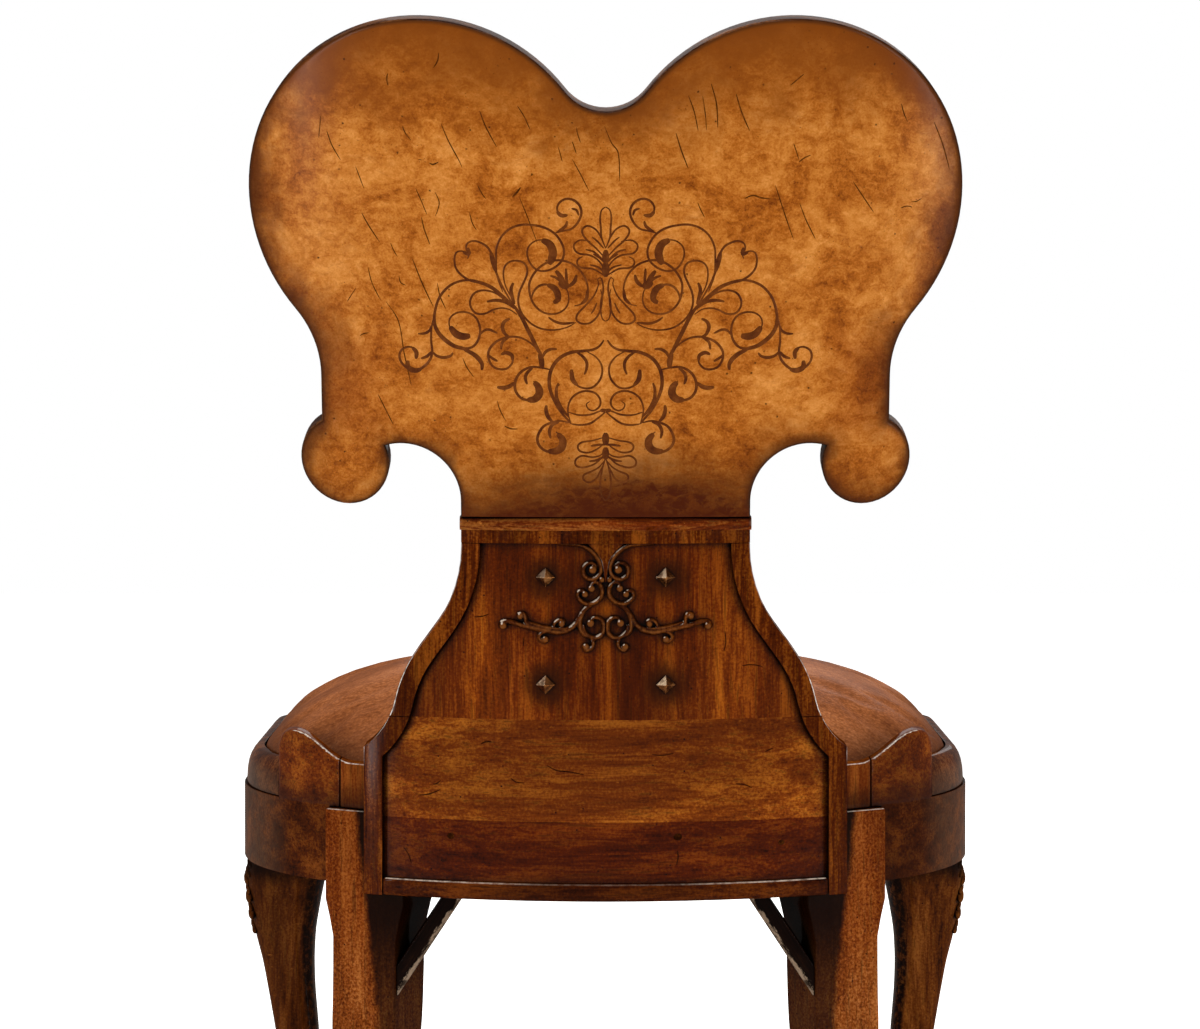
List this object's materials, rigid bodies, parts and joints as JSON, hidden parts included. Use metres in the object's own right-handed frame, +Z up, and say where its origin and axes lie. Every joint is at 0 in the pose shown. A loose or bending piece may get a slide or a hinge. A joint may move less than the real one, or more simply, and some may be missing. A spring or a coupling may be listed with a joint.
{
  "type": "marquetry side chair",
  "caption": "Wooden side chair with a two-lobed burl marquetry back, waisted splat, compass seat with leather pad, cabriole front legs and swept rear legs.",
  "frame": {"origin": "on the floor, under the middle of the chair's box", "axes": "+Z up, +X towards the right as seen from behind the chair, +Y towards the front of the seat"},
  "size_m": [0.622, 0.5764, 1.0089],
  "materials": {
    "walnut": "antique walnut, french polished and distressed",
    "dark_walnut": "dark stained walnut, polished",
    "burl_veneer": "figured burl veneer with scroll inlay, polished and distressed",
    "beech": "plain unfinished secondary wood",
    "leather": "grained brown leather, matt",
    "hessian": "plain hessian",
    "webbing": "jute webbing",
    "antiqued_iron": "browned iron, polished",
    "steel": "plain steel"
  },
  "bodies": {
    "root": {"rear_rail": "walnut", "side_rail_left": "walnut", "side_rail_right": "walnut", "front_rail": "walnut", "rear_moulding": "walnut", "front_moulding": "walnut", "side_moulding_left": "walnut", "side_moulding_right": "walnut", "shoulder_block_left": "walnut", "shoulder_block_right": "walnut", "shoulder_filler_left": "walnut", "shoulder_filler_right": "walnut", "rear_corner_block_left": "beech", "rear_corner_block_right": "beech", "front_corner_block_left": "beech", "front_corner_block_right": "beech", "loose_frame_rear": "beech", "loose_frame_front": "beech", "loose_frame_left": "beech", "loose_frame_right": "beech", "webbing": "webbing", "hessian": "hessian", "seat_pad": "leather", "seat_screws": "steel", "splat_stile_upper_left": "walnut", "splat_stile_upper_right": "walnut", "splat_stile_lower_left": "walnut", "splat_stile_lower_right": "walnut", "splat_top_rail": "walnut", "splat_bottom_rail": "walnut", "splat_panel_upper": "walnut", "splat_panel_middle": "walnut", "splat_panel_lower": "dark_walnut", "back_bolts": "antiqued_iron", "carved_scroll_left": "dark_walnut", "carved_scroll_right": "dark_walnut", "back_board_core": "burl_veneer", "rear_veneer": "burl_veneer", "front_veneer": "burl_veneer", "back_dowels": "beech", "rear_leg_left": "walnut", "rear_leg_right": "walnut", "front_leg_left": "walnut", "front_leg_right": "walnut", "brace_left": "dark_walnut", "brace_right": "dark_walnut", "foot_glides": "steel"}
  },
  "joints": []
}
